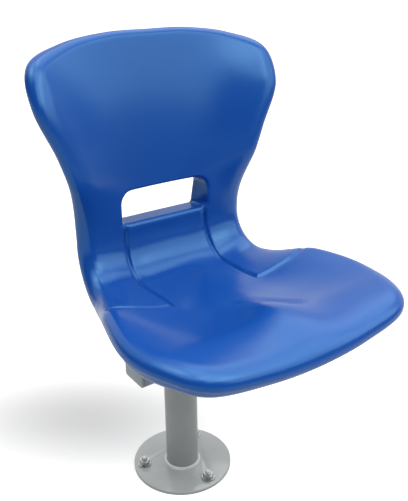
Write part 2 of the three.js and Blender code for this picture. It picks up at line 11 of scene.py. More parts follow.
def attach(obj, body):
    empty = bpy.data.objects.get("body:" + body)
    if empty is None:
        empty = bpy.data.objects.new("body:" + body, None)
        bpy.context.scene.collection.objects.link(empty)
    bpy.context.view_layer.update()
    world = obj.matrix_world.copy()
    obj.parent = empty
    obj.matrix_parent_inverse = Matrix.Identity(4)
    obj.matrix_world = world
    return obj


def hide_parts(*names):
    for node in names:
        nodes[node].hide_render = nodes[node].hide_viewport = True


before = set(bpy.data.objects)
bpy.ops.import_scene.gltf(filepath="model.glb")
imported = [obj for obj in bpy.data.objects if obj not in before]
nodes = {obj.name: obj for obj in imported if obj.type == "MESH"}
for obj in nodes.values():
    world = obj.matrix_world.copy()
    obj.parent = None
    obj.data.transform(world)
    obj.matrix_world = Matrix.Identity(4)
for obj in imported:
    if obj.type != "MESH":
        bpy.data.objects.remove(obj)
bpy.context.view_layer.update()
mm = 0.001
print("frame loaded:", len(nodes), "CAD nodes")


def softStep(start, end, value):
    t = np.clip((value - start) / (end - start), 0, 1)
    return t * t * (3 - 2 * t)


def tableAt(rows, place):
    # smooth curve through [place, value] rows, never overshooting them
    px, pv = np.array(rows, float).T
    slope = np.diff(pv) / np.diff(px)
    inner = np.zeros(len(px) - 2)
    same = slope[:-1] * slope[1:] > 0
    inner[same] = 2 * slope[:-1][same] * slope[1:][same] / (slope[:-1][same] + slope[1:][same])
    pull = np.concatenate([[slope[0]], inner, [slope[-1]]])
    p = np.clip(place, px[0], px[-1])
    i = np.clip(np.searchsorted(px, p, side="right") - 1, 0, len(slope) - 1)
    span = px[i + 1] - px[i]
    t = (p - px[i]) / span
    rise = 3 * t**2 - 2 * t**3
    out = pv[i] + (pv[i + 1] - pv[i]) * rise
    return out + (t**3 - 2 * t**2 + t) * span * pull[i] + (t**3 - t**2) * span * pull[i + 1]


def curvePoint(a, b, c, d, t):
    # smooth curve from b to c, with a and d as its neighbours
    return 0.5 * (2 * b + (c - a) * t + (2 * a - 5 * b + 4 * c - d) * t**2
                  + (3 * b - a - 3 * c + d) * t**3)


def curveSlope(a, b, c, d, t):
    return 0.5 * ((c - a) + 2 * (2 * a - 5 * b + 4 * c - d) * t + 3 * (3 * b - a - 3 * c + d) * t**2)


def quarterTurn(steps):
    # share, sine and cosine at even steps of a quarter turn
    turns = [(t, t * math.pi / 2) for t in np.linspace(0, 1, steps + 1)]
    return [(t, math.sin(turn), math.cos(turn)) for t, turn in turns]


def linkPiece(name, mesh, material):
    piece = bpy.data.objects.new(name, mesh)
    bpy.context.scene.collection.objects.link(piece)
    mesh.materials.clear()
    mesh.materials.append(material)
    return piece


def meshFrom(name, points, faces, weld=0.00002):
    # points in millimetres become one closed mesh in metres with outward faces
    mesh = bpy.data.meshes.new(name)
    mesh.from_pydata((np.asarray(points) * mm).tolist(), [], faces)
    bm = bmesh.new()
    bm.from_mesh(mesh)
    bmesh.ops.remove_doubles(bm, verts=bm.verts, dist=weld)
    bmesh.ops.dissolve_degenerate(bm, edges=bm.edges, dist=weld)
    bmesh.ops.recalc_face_normals(bm, faces=bm.faces)
    bm.to_mesh(mesh)
    bm.free()
    mesh.shade_smooth()
    return mesh


def newGroup(name, inputs, outputs):
    tree = bpy.data.node_groups.new(name, "ShaderNodeTree")
    for label, kind, value in inputs:
        socket = tree.interface.new_socket(name=label, in_out="INPUT", socket_type=kind)
        socket.default_value = value
    for label, kind in outputs:
        tree.interface.new_socket(name=label, in_out="OUTPUT", socket_type=kind)
    return tree, tree.nodes.new("NodeGroupInput"), tree.nodes.new("NodeGroupOutput")


def addNode(tree, kind, settings=None, **inputs):
    node = tree.nodes.new(kind)
    for key, value in (settings or {}).items():
        setattr(node, key, value)
    for key, value in inputs.items():
        socket = node.inputs[int(key[1:])] if key[0] == "i" and key[1:].isdigit() else node.inputs[key]
        if isinstance(value, bpy.types.NodeSocket):
            tree.links.new(value, socket)
        else:
            socket.default_value = value
    return node


def addMaths(tree, operation, a, b):
    return addNode(tree, "ShaderNodeMath", {"operation": operation}, i0=a, i1=b).outputs[0]


def makeMottleGroup():
    # slow cloudy variation of a moulded or painted surface, from 0 to 1
    tree, entry, result = newGroup(
        "surfaceMottle",
        [("Vector", "NodeSocketVector", (0, 0, 0)), ("Scale", "NodeSocketFloat", 12.0),
         ("Contrast", "NodeSocketFloat", 1.0)],
        [("Mask", "NodeSocketFloat")])
    noise = addNode(tree, "ShaderNodeTexNoise", Vector=entry.outputs["Vector"],
                    Scale=entry.outputs["Scale"], Detail=4.0, Roughness=0.55)
    centred = addMaths(tree, "SUBTRACT", noise.outputs["Fac"], 0.5)
    gained = addNode(tree, "ShaderNodeMath", {"operation": "MULTIPLY_ADD", "use_clamp": True},
                     i0=centred, i1=entry.outputs["Contrast"], i2=0.5)
    tree.links.new(gained.outputs[0], result.inputs["Mask"])
    return tree


def makeGrainGroup():
    # fine texture height: a coarse ripple and a fine grain added together
    tree, entry, result = newGroup(
        "fineGrain",
        [("Vector", "NodeSocketVector", (0, 0, 0)), ("Grain Scale", "NodeSocketFloat", 900.0),
         ("Ripple Scale", "NodeSocketFloat", 60.0), ("Ripple", "NodeSocketFloat", 0.5)],
        [("Height", "NodeSocketFloat")])
    grain = addNode(tree, "ShaderNodeTexNoise", Vector=entry.outputs["Vector"],
                    Scale=entry.outputs["Grain Scale"], Detail=2.0)
    ripple = addNode(tree, "ShaderNodeTexNoise", Vector=entry.outputs["Vector"],
                     Scale=entry.outputs["Ripple Scale"], Detail=1.0)
    total = addNode(tree, "ShaderNodeMath", {"operation": "MULTIPLY_ADD"},
                    i0=ripple.outputs["Fac"], i1=entry.outputs["Ripple"], i2=grain.outputs["Fac"])
    tree.links.new(total.outputs[0], result.inputs["Height"])
    return tree


mottleGroup = makeMottleGroup()
grainGroup = makeGrainGroup()


def makeMaterial(name, look):
    material = bpy.data.materials.new(name)
    material.use_nodes = True
    tree = material.node_tree
    shader = tree.nodes["Principled BSDF"]
    shader.inputs["Metallic"].default_value = look.get("metallic", 0)
    shader.inputs["Specular IOR Level"].default_value = look.get("specular", 0.5)
    shader.inputs["Specular Tint"].default_value = (*look.get("specularTint", (1, 1, 1)), 1)
    place = addNode(tree, "ShaderNodeTexCoord").outputs["Object"]
    mottle = addNode(tree, "ShaderNodeGroup", {"node_tree": mottleGroup}, Vector=place,
                     Scale=look["mottleScale"], Contrast=look["mottleContrast"])
    colour = addNode(tree, "ShaderNodeMix", {"data_type": "RGBA"}, i0=mottle.outputs["Mask"],
                     i6=(*look["dark"], 1), i7=(*look["light"], 1))
    tree.links.new(colour.outputs[2], shader.inputs["Base Color"])
    rough = addNode(tree, "ShaderNodeMapRange", i0=mottle.outputs["Mask"], i3=look["roughness"][0],
                    i4=look["roughness"][1])
    tree.links.new(rough.outputs[0], shader.inputs["Roughness"])
    grain = addNode(tree, "ShaderNodeGroup", {"node_tree": grainGroup}, Vector=place)
    grain.inputs["Grain Scale"].default_value = look["grainScale"]
    grain.inputs["Ripple Scale"].default_value = look["rippleScale"]
    grain.inputs["Ripple"].default_value = look["ripple"]
    bump = addNode(tree, "ShaderNodeBump", Height=grain.outputs["Height"], Strength=look["bumpStrength"],
                   Distance=look["bumpDistance"])
    tree.links.new(bump.outputs["Normal"], shader.inputs["Normal"])
    return material


bluePolyethylene = makeMaterial("bluePolyethylene", {
    "specular": 0.75, "specularTint": (0.37, 0.78, 1.0),
    "dark": (0.003, 0.048, 0.27), "light": (0.004, 0.062, 0.315),
    "mottleScale": 7.0, "mottleContrast": 1.2, "roughness": (0.2, 0.26),
    "grainScale": 1400.0, "rippleScale": 70.0, "ripple": 1.2, "bumpStrength": 0.12, "bumpDistance": 0.0003})

greyCoat = {
    "specular": 0.5, "dark": (0.28, 0.295, 0.29), "light": (0.34, 0.355, 0.35),
    "mottleScale": 18.0, "mottleContrast": 1.4, "roughness": (0.28, 0.36),
    "grainScale": 1100.0, "rippleScale": 260.0, "ripple": 1.5, "bumpStrength": 0.2, "bumpDistance": 0.0002}
greyPowderCoat = makeMaterial("greyPowderCoat", greyCoat)
# the base plate's coat is the grey coat made lighter and glossier; the lighter colour is painted light on the
# upward-facing plate
greyPlateCoat = makeMaterial("greyPlateCoat", greyCoat | {
    "specular": 0.7, "dark": (0.36, 0.38, 0.375), "light": (0.42, 0.44, 0.435),
    "mottleScale": 14.0, "roughness": (0.1, 0.15), "bumpStrength": 0.04})
# the foot weld's lighter coat is a painted highlight along its bead
paleWeldCoat = makeMaterial("paleWeldCoat", greyCoat | {
    "specular": 0.6, "dark": (0.6, 0.63, 0.62), "light": (0.7, 0.73, 0.72),
    "mottleScale": 30.0, "roughness": (0.2, 0.26), "bumpStrength": 0.1})
# the rail's coat is the grey coat made darker and bluer: painted shade under the shell and painted blue light
# bounced from it
greyRailCoat = makeMaterial("greyRailCoat", greyCoat | {
    "dark": (0.2, 0.245, 0.27), "light": (0.25, 0.295, 0.32)})

brightZinc = makeMaterial("brightZinc", {
    "metallic": 1.0, "dark": (0.3, 0.3, 0.29), "light": (0.58, 0.59, 0.6),
    "mottleScale": 160.0, "mottleContrast": 2.2, "roughness": (0.3, 0.45),
    "grainScale": 1500.0, "rippleScale": 420.0, "ripple": 0.8, "bumpStrength": 0.25, "bumpDistance": 0.0002})
turnedBrass = makeMaterial("turnedBrass", {
    "metallic": 1.0, "dark": (0.5, 0.33, 0.12), "light": (0.78, 0.56, 0.25),
    "mottleScale": 140.0, "mottleContrast": 1.8, "roughness": (0.25, 0.4),
    "grainScale": 1500.0, "rippleScale": 300.0, "ripple": 0.6, "bumpStrength": 0.2, "bumpDistance": 0.0002})
print("materials made")


# camera, from a fit of the photograph's outlines
view = {"azimuth": -35.16, "elevation": 22.91, "roll": -0.6, "focalPixels": 670.57, "longSidePixels": 501,
        "place": (-0.5572, -0.87007, 0.87465)}


def makeCamera():
    a, e, r = (math.radians(view[k]) for k in ("azimuth", "elevation", "roll"))
    back = Vector((math.sin(a) * math.cos(e), -math.cos(a) * math.cos(e), math.sin(e)))
    right = Vector((math.cos(a), math.sin(a), 0))
    up = back.cross(right)
    turned = (right * math.cos(r) + up * math.sin(r), -right * math.sin(r) + up * math.cos(r), back)
    data = bpy.data.cameras.new("photoCamera")
    data.lens = view["focalPixels"] * data.sensor_width / view["longSidePixels"]
    camera = bpy.data.objects.new("photoCamera", data)
    bpy.context.scene.collection.objects.link(camera)
    camera.matrix_world = Matrix.Translation(view["place"]) @ Matrix(turned).transposed().to_4x4()
    bpy.context.scene.camera = camera


makeCamera()


# seat shell: the moulded skin, laid out in millimetres along and across its face
shell = {
    "halfWidth": 224, "thickness": 40.6, "rearRoll": 13, "sideDraft": 5.8,
    "hipForward": 29.5, "hipHeight": 426.4, "hipSlope": 0.8, "hipArc": 2,
    "arcs": [(105, -19.9), (224, 3.9), (78, 83.1), (145, 0.4), (173, -4.7)],  # length and turn in degrees
    "faceRoll": 39, "faceRollPower": 2.15,
    # width of the rolled front edge, and its depth for that width, from the lip to the top
    "faceRollShares": [[0, 0.8], [0.06, 0.8], [0.25, 0.6], [0.42, 0.51], [0.56, 0.7], [0.68, 1],
                       [0.88, 1], [0.95, 0.6], [1, 0.34]],
    "faceRollDepths": [[0, 0.7], [0.06, 0.7], [0.25, 0.9], [0.42, 1], [0.6, 0.74], [0.68, 0.66],
                       [0.88, 0.66], [0.96, 0.9], [1, 1]],
    "dishDepth": 60, "dishReach": 200, "dishPower": 2.2,
    "outline": [  # share of the length from the lip, share of the half width
        [0, 0], [0.007, 0.379], [0.029, 0.757], [0.093, 0.926], [0.196, 0.997], [0.313, 0.922], [0.424, 0.79],
        [0.523, 0.712], [0.63, 0.719], [0.756, 0.837], [0.86, 0.972], [0.943, 0.934], [0.981, 0.668],
        [0.998, 0.333], [1, 0]],
    # how far the sides rise out of the centre line, as shares of the dish depth
    "dish": [[0, 0.265], [0.152, 0.13], [0.317, 0.242], [0.455, -0.28], [0.579, 0.04], [0.717, 0.98],
             [0.855, 0.78], [1, 0.278]],
    "outlineSteps": 32, "rollRings": 14, "rearRings": 8, "faceStep": 4.0, "rearStep": 8.0,
    "fieldHalfWidth": 250, "fieldOverrun": 20, "fieldRowShare": 0.866, "borderGapShare": 0.55,
    "fieldGapShare": 0.5, "cutTolerance": 1e-4,
}
relief = {
    "bucketDepth": 19, "bucketAcross": (0.35, 0.9),
    "bucket": [[0, 0], [0.12, 0.03], [0.2, 0.4], [0.32, 1], [0.46, 1], [0.56, 0.35], [0.62, 0], [1, 0]],
    "pommelHeight": 13, "pommelLength": 200, "pommelHalfWidths": (60, 26),
    "pommel": [[0, 0], [0.04, 0.32], [0.1, 0.8], [0.16, 1], [0.22, 0.55], [0.29, 0], [1, 0]],
    "rearPanelRecess": 7, "rearPanelAcross": (0.45, 0.85), "rearPanelAlong": (0.68, 0.74, 0.9, 0.97),
    "grooveDepth": 3.8, "grooveHalfWidth": 5.6, "grooveFade": (0.6, 1.0),
    "lineSteps": 10, "bandOffsets": (0, 0.9, 1.8, 2.7, 3.6, 4.8, 6.2), "bandStep": 1.5, "bandMerge": 0.7,
    "bandGap": 0.9,
    # places along and across, from the slot to the hip and out to the rim
    "innerGroove": [[435, 76], [377, 80], [350, 81], [311, 82], [280, 81], [246.5, 83]],
    "outerGroove": [[248, 83], [244, 106], [241.5, 128], [240, 146], [242, 165], [250, 186]],
}
slot = {
    "halfWidth": 83, "top": 481, "bottom": 427, "topCorner": 21, "bottomCorner": 9, "rearCorner": 5,
    "topTaper": 7, "bottomTaper": 3.5, "sideTapers": (12, 4), "edge": 5, "ledge": 12, "cornerSteps": 14,
    "sideSteps": (12, 40), "edgeRings": 5, "wallRings": 6,
}
shellLength = sum(length for length, turn in shell["arcs"])


def walkSpine(length):
    # place and heading along the centre line, from a front edge at the origin
    length = np.asarray(length, float)
    y, z = np.zeros(length.shape), np.zeros(length.shape)
    start = shell["hipSlope"] - sum(turn for arcLength, turn in shell["arcs"][:shell["hipArc"]])
    heading = np.full(length.shape, math.radians(start))
    left = length.copy()
    for i, (arcLength, turn) in enumerate(shell["arcs"]):
        run = left if i == len(shell["arcs"]) - 1 else np.minimum(left, arcLength)
        bend = math.radians(turn) / arcLength
        end = heading + bend * run
        y = y + (np.sin(end) - np.sin(heading)) / bend
        z = z - (np.cos(end) - np.cos(heading)) / bend
        heading, left = end, left - run
    return y, z, heading


hipPlace = walkSpine(sum(arcLength for arcLength, turn in shell["arcs"][:shell["hipArc"]]))


def spineAt(length):
    y, z, heading = walkSpine(length)
    return y - hipPlace[0] - shell["hipForward"], z - hipPlace[1] + shell["hipHeight"], heading


def shellPoint(x, length, lift):
    y, z, heading = spineAt(length)
    dish = shell["dishDepth"] * tableAt(shell["dish"], length / shellLength)
    height = dish * (np.abs(x) / shell["dishReach"]) ** shell["dishPower"] + lift
    return np.stack([x, y - np.sin(heading) * height, z + np.cos(heading) * height], -1)


def halfWidthAt(length):
    width = shell["halfWidth"] * tableAt(shell["outline"], length / shellLength)
    return np.maximum(width, shell["faceRoll"])


def rollWidthAt(length):
    return shell["faceRoll"] * tableAt(shell["faceRollShares"], length / shellLength)


def polylineDistance(points, line):
    best = np.full(len(points), np.inf)
    for a, b in zip(line[:-1], line[1:]):
        along = b - a
        t = np.clip(((points - a) @ along) / (along @ along), 0, 1)
        best = np.minimum(best, np.linalg.norm(points - (a + t[:, None] * along), axis=1))
    return best


def smoothLine(rows):
    # curve through open [length, x] rows, as [x, length] points
    p = np.array([(x, l) for l, x in rows], float)
    p = np.vstack([2 * p[0] - p[1], p, 2 * p[-1] - p[-2]])
    out = []
    for i in range(1, len(p) - 2):
        for t in np.arange(relief["lineSteps"]) / relief["lineSteps"]:
            out.append(curvePoint(*p[i - 1:i + 3], t))
    return np.array(out + [p[-2]])


innerLine = smoothLine(relief["innerGroove"])
outerLine = smoothLine(relief["outerGroove"])


def grooveAt(x, length):
    points = np.stack([np.abs(x), length], -1)
    near = np.minimum(polylineDistance(points, innerLine), polylineDistance(points, outerLine))
    return -relief["grooveDepth"] * (1 - softStep(0, relief["grooveHalfWidth"], near))


def faceRelief(x, length):
    across = np.abs(x) / halfWidthAt(length)
    bucket = -relief["bucketDepth"] * tableAt(relief["bucket"], length / shellLength)
    front, rear = relief["pommelHalfWidths"]
    spread = front + (rear - front) * softStep(0, relief["pommelLength"], length)
    pommel = relief["pommelHeight"] * tableAt(relief["pommel"], length / shellLength)
    raised = bucket + pommel * np.exp(-(x / spread) ** 2)
    return raised * (1 - softStep(*relief["bucketAcross"], across))


def rearRelief(x, length):
    across = np.abs(x) / halfWidthAt(length)
    a, b, c, d = (share * shellLength for share in relief["rearPanelAlong"])
    lengthwise = softStep(a, b, length) * (1 - softStep(c, d, length))
    return relief["rearPanelRecess"] * lengthwise * (1 - softStep(*relief["rearPanelAcross"], across))


def shellOutline():
    right = [(w * shell["halfWidth"], l * shellLength) for l, w in shell["outline"]]
    p = np.array(right + [(-x, l) for x, l in right[-2:0:-1]])
    n = len(p)
    t = np.arange(shell["outlineSteps"])[:, None] / shell["outlineSteps"]
    points, tangents = [], []
    for i in range(n):
        a, b, c, d = p[i - 1], p[i], p[(i + 1) % n], p[(i + 2) % n]
        points.append(curvePoint(a, b, c, d, t))
        tangents.append(curveSlope(a, b, c, d, t))
    points, tangents = np.vstack(points), np.vstack(tangents)
    tangents /= np.linalg.norm(tangents, axis=1)[:, None]
    return points, np.stack([-tangents[:, 1], tangents[:, 0]], -1)


def slotRing(growth, depth):
    # rows of x, length and edge radius round the slot, at a share of its depth and grown by a share of
    # that radius
    top = slot["top"] - slot["topTaper"] * depth
    bottom = slot["bottom"] + slot["bottomTaper"] * depth
    upper, lower = (slot[k] + (slot["rearCorner"] - slot[k]) * depth for k in ("topCorner", "bottomCorner"))
    atBottom, atTop = slot["sideTapers"]
    arcs = []
    for side, length, radius, start in [(1, bottom, lower, -90), (1, top, upper, 0), (-1, top, upper, 90),
                                        (-1, bottom, lower, 180)]:
        a = np.radians(start + np.linspace(0, 90, slot["cornerSteps"] + 1))
        edge = slot["edge"] + (slot["ledge"] - slot["edge"]) * (1 - depth) * np.maximum(-np.sin(a), 0)
        centre = length - radius if length == top else length + radius
        place = centre + (radius + edge * growth) * np.sin(a)
        taper = atBottom + (atTop - atBottom) * (place - bottom) / (top - bottom)
        half = slot["halfWidth"] - depth * taper - radius
        arcs.append(np.stack([side * half + (radius + edge * growth) * np.cos(a), place, edge], -1))
    counts = slot["sideSteps"] * 2
    ring = []
    for k, arc in enumerate(arcs):
        t = np.arange(1, counts[k])[:, None] / counts[k]
        ring += [arc, arc[-1] + (arcs[(k + 1) % 4][0] - arc[-1]) * t]
    return np.vstack(ring)


def insidePolygon(points, polygon):
    inside = np.zeros(len(points), bool)
    for (x0, y0), (x1, y1) in zip(polygon, np.roll(polygon, -1, axis=0)):
        if y0 != y1:
            crossing = (y0 > points[:, 1]) != (y1 > points[:, 1])
            inside ^= crossing & (points[:, 0] < (x1 - x0) * (points[:, 1] - y0) / (y1 - y0) + x0)
    return inside


def inField(points, rim, holes):
    inside = insidePolygon(points, rim)
    for hole in holes:
        inside &= ~insidePolygon(points, hole)
    return inside


def hexPoints(step):
    # points in offset rows, a step apart, over the whole shell
    rows = []
    half, over = shell["fieldHalfWidth"], shell["fieldOverrun"]
    for k, length in enumerate(np.arange(-over, shellLength + over, step * shell["fieldRowShare"])):
        x = np.arange(-half, half, step) + (step / 2 if k % 2 else 0)
        rows.append(np.stack([x, np.full(len(x), length)], -1))
    return np.vstack(rows)


def farFrom(points, others, gap):
    tree = KDTree(len(others))
    for i, p in enumerate(others):
        tree.insert((p[0], p[1], 0), i)
    tree.balance()
    return np.array([tree.find((p[0], p[1], 0))[2] > gap for p in points], bool)


def fieldPoints(step, rim, holes, gapShare):
    # points between a rim and its holes, kept off both
    points = hexPoints(step)
    points = points[inField(points, rim, holes)]
    return points[farFrom(points, np.vstack([rim, *holes]), step * gapShare)]


def grooveBand():
    # rows of points beside both grooves, dense enough to carry their sections
    rows = []
    for line in (innerLine, outerLine):
        steps = np.linalg.norm(np.diff(line, axis=0), axis=1)
        along = np.concatenate([[0], np.cumsum(steps)])
        places = np.arange(0, along[-1], relief["bandStep"])
        centre = np.stack([np.interp(places, along, line[:, k]) for k in (0, 1)], -1)
        tangent = np.gradient(centre, axis=0)
        tangent /= np.linalg.norm(tangent, axis=1)[:, None]
        normal = np.stack([-tangent[:, 1], tangent[:, 0]], -1)
        for off in relief["bandOffsets"]:
            for sign in (1, -1) if off else (1,):
                rows.append(centre + normal * off * sign)
    kept, merge = {}, relief["bandMerge"]
    for p in np.vstack(rows):
        kept.setdefault((round(p[0] / merge), round(p[1] / merge)), p)
    band = np.array(list(kept.values()))
    return np.vstack([band, band * (-1, 1)])


def triangulate(rim, holes, points):
    # triangles between a rim and its holes, through all the points
    rings, edges, base = [rim, *holes], [], 0
    for ring in rings:
        n = len(ring)
        edges += [(base + i, base + (i + 1) % n) for i in range(n)]
        base += n
    coords = [Vector(c) for c in np.vstack(rings + [points]).tolist()]
    found = delaunay_2d_cdt(coords, edges, [], 0, shell["cutTolerance"], False)
    spots = np.array([(v.x, v.y) for v in found[0]])
    faces = np.array(found[2])
    kept = inField(spots[faces].mean(1), rim, holes)
    return spots, faces[kept].tolist()


def ringFaces(count, ringSize):
    # four-sided faces that join each ring to the next
    faces = []
    for a in range(0, (count - 1) * ringSize, ringSize):
        b = a + ringSize
        for i in range(ringSize):
            j = (i + 1) % ringSize
            faces.append((a + i, a + j, b + j, b + i))
    return faces


class Patchwork:
    # gathers the shell's patches before they are welded into one skin
    def __init__(self):
        self.points, self.faces, self.size = [], [], 0

    def add(self, points, faces):
        self.points.append(points)
        self.faces += [tuple(i + self.size for i in face) for face in faces]
        self.size += len(points)

    def addRings(self, rings):
        self.add(np.vstack(rings), ringFaces(len(rings), len(rings[0])))


bosses = {
    # centre and height of each foot, the front pair first
    "feet": [(-90, -129, 365.3), (90, -129, 365.3), (-60, 4, 371.6), (60, 4, 371.6)],
    "footRadius": 20, "draft": 3, "fillet": 4, "filletSteps": 4, "chamferHeight": 0.4, "chamferReach": 0.8,
    "bore": 7.3, "boreDepth": 22.3, "flange": 10.3, "flangeDepth": 2.3, "poleRadius": 0.01,
    "sides": 64, "searchFrom": 40.0, "searchTo": 400.0, "searchSteps": 40,
}


def rearSkin(x, length):
    return shellPoint(x, length, np.full(x.shape, -float(shell["thickness"])))


def skinUnder(x, y):
    # place along the rear skin whose Y is y, by bisection
    low, high = np.full(x.shape, bosses["searchFrom"]), np.full(x.shape, bosses["searchTo"])
    for step in range(bosses["searchSteps"]):
        middle = (low + high) / 2
        at = rearSkin(x, middle)[:, 1]
        low, high = np.where(at < y, middle, low), np.where(at < y, high, middle)
    return (low + high) / 2


def addBoss(patches, cx, cy, foot):
    a = np.arange(bosses["sides"]) / bosses["sides"] * 2 * math.pi
    circle = np.stack([np.cos(a), np.sin(a)], -1)
    wide = bosses["footRadius"] + bosses["draft"] + bosses["fillet"]
    x, y = cx + wide * circle[:, 0], cy + wide * circle[:, 1]
    length = skinUnder(x, y)
    skin = rearSkin(x, length)
    rings = [skin]
    for t, sine, cosine in quarterTurn(bosses["filletSteps"])[1:]:
        radius = wide - bosses["fillet"] * sine
        ring = np.stack([cx + radius * circle[:, 0], cy + radius * circle[:, 1], skin[:, 2]], -1)
        ring[:, 2] -= bosses["fillet"] * (1 - cosine)
        rings.append(ring)
    shelf, roof = foot + bosses["flangeDepth"], foot + bosses["boreDepth"]
    flat = [(bosses["footRadius"] + bosses["chamferReach"], foot + bosses["chamferHeight"]),
            (bosses["footRadius"], foot), (bosses["flange"], foot), (bosses["flange"], shelf),
            (bosses["bore"], shelf), (bosses["bore"], roof), (bosses["poleRadius"], roof)]
    for radius, z in flat:
        height = np.full(len(a), z)
        rings.append(np.stack([cx + radius * circle[:, 0], cy + radius * circle[:, 1], height], -1))
    patches.addRings(rings)
    return np.stack([x, length], -1)


def addFace(patches, crease):
    hole = slotRing(1, 0)[:, :2]
    band = grooveBand()
    band = band[inField(band, crease, [hole])]
    band = band[farFrom(band, np.vstack([crease, hole]), relief["bandGap"])]
    fill = fieldPoints(shell["faceStep"], crease, [hole], shell["borderGapShare"])
    fill = fill[farFrom(fill, band, shell["faceStep"] * shell["fieldGapShare"])]
    spots, faces = triangulate(crease, [hole], np.vstack([band, fill]))
    x, length = spots.T
    patches.add(shellPoint(x, length, faceRelief(x, length) + grooveAt(x, length)), faces)
    print("shell face:", len(faces), "triangles")


def addRims(patches, outline, inward, roll):
    # rolled front edge, drafted side and smaller rear edge in one run of rings
    rings, power = [], 2 / shell["faceRollPower"]
    depth = roll * tableAt(shell["faceRollDepths"], outline[:, 1] / shellLength)
    for t, sine, cosine in quarterTurn(shell["rollRings"]):
        x, length = (outline + inward * (roll * (1 - sine ** power))[:, None]).T
        carried = faceRelief(x, length) * (1 - t)
        carried = carried + grooveAt(x, length) * (1 - softStep(*relief["grooveFade"], t))
        rings.append(shellPoint(x, length, carried - depth * (1 - cosine ** power)))
    for t, sine, cosine in quarterTurn(shell["rearRings"]):
        x, length = (outline + inward * (shell["sideDraft"] + shell["rearRoll"] * (1 - cosine))).T
        lift = shell["rearRoll"] * (1 - sine) - shell["thickness"]
        rings.append(shellPoint(x, length, np.full(len(x), lift)))
    patches.addRings(rings)


def addRear(patches, rim):
    holes = [slotRing(1, 1)[:, :2]] + [addBoss(patches, *foot) for foot in bosses["feet"]]
    fill = fieldPoints(shell["rearStep"], rim, holes, shell["fieldGapShare"])
    spots, faces = triangulate(rim, holes, fill)
    x, length = spots.T
    patches.add(shellPoint(x, length, rearRelief(x, length) - shell["thickness"]), faces)
    print("shell rear:", len(faces), "triangles")


def addSlotWalls(patches):
    rings, thick = [], shell["thickness"]
    for t, sine, cosine in quarterTurn(slot["edgeRings"]):
        x, length, edge = slotRing(1 - sine, 0).T
        carried = (faceRelief(x, length) + grooveAt(x, length)) * (1 - t)
        rings.append(shellPoint(x, length, carried - edge * (1 - cosine)))
    front = slotRing(0, 0)[:, 2]
    for t in np.linspace(0, 1, slot["wallRings"] + 1)[1:-1]:
        x, length, edge = slotRing(0, t).T
        rings.append(shellPoint(x, length, -front - (thick - front - slot["edge"]) * t))
    for t, sine, cosine in quarterTurn(slot["edgeRings"]):
        x, length, edge = slotRing(1 - cosine, 1).T
        rings.append(shellPoint(x, length, edge * (1 - sine) - thick))
    patches.addRings(rings)


def makeShell():
    patches = Patchwork()
    outline, inward = shellOutline()
    roll = rollWidthAt(outline[:, 1])
    addFace(patches, outline + inward * roll[:, None])
    addRims(patches, outline, inward, roll)
    addRear(patches, outline + inward * (shell["sideDraft"] + shell["rearRoll"]))
    addSlotWalls(patches)
    mesh = meshFrom("seatShellSkin", np.vstack(patches.points), patches.faces)
    return linkPiece("seatShellSkin", mesh, bluePolyethylene)


seatShellSkin = makeShell()
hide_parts("seat_shell")
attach(seatShellSkin, "root")
print("seat shell:", len(seatShellSkin.data.polygons), "faces")


# steel pieces: smooth copies of the CAD solids, with a small edge radius on plates and rail
steelWork = {
    "edgeRadius": 0.0005, "edgeAngle": 40, "edgeSegments": 2, "sharpAngle": 35,
    "flatAngle": 1, "mergeDistance": 0.000001,
    "softened": ["beam_end_plate", "rear_saddle", "beam_gusset"],
    "plain": ["post_tube", "carrier_beam"],
    "rail": ["front_rail", "rail_end_plate_left", "rail_end_plate_right"],
}


def camelName(name):
    first, *rest = name.split("_")
    return first + "".join(word.capitalize() for word in rest)


def smoothMesh(name, edgeRadius=0.0):
    mesh = nodes[name].data.copy()
    mesh.name = camelName(name)
    bm = bmesh.new()
    bm.from_mesh(mesh)
    bmesh.ops.remove_doubles(bm, verts=bm.verts, dist=steelWork["mergeDistance"])
    bmesh.ops.dissolve_limit(bm, angle_limit=math.radians(steelWork["flatAngle"]), verts=bm.verts,
                             edges=bm.edges)
    if edgeRadius:
        least = math.radians(steelWork["edgeAngle"])
        sharp = [e for e in bm.edges if len(e.link_faces) == 2 and e.calc_face_angle(0) > least]
        bmesh.ops.bevel(bm, geom=sharp, offset=edgeRadius, segments=steelWork["edgeSegments"],
                        affect="EDGES", profile=0.5, clamp_overlap=True)
    bm.to_mesh(mesh)
    bm.free()
    mesh.shade_smooth()
    mesh.set_sharp_from_angle(angle=math.radians(steelWork["sharpAngle"]))
    return mesh


def fitPiece(piece, name):
    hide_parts(name)
    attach(piece, "root")


def finishNode(name, material, edgeRadius=0.0):
    piece = linkPiece(camelName(name) + "Finish", smoothMesh(name, edgeRadius), material)
    fitPiece(piece, name)


finishNode("base_plate", greyPlateCoat, steelWork["edgeRadius"])
for name in steelWork["softened"]:
    finishNode(name, greyPowderCoat, steelWork["edgeRadius"])
for name in steelWork["plain"]:
    finishNode(name, greyPowderCoat)
for name in steelWork["rail"]:
    finishNode(name, greyRailCoat, steelWork["edgeRadius"])
for name in sorted(nodes):
    if name.startswith(("seat_bolt", "seat_washer", "anchor_washer", "anchor_nut")):
        finishNode(name, brightZinc)
    elif name.startswith("insert_"):
        finishNode(name, turnedBrass)
print("steel work and fixings finished")


# stud threads and weld ripples in millimetres, grown with Geometry Nodes
thread = {"pitch": 1.5, "depth": 0.9, "bevel": 0.8, "stepsPerTurn": 20, "sides": 32, "ridgeSides": 4}
weldBead = {
    "rings": {"post_foot_weld": 1, "post_head_weld": -1},
    "seams": ["rail_seam_left", "rail_seam_right", "saddle_seam_left", "saddle_seam_right"],
    "spacing": 1.7, "size": (2.1, 1.5, 2.1), "sizeSpread": 0.16, "inset": 0.38, "seed": 7,
    "ringSteps": 96, "beadSegments": 10, "beadRings": 6,
}


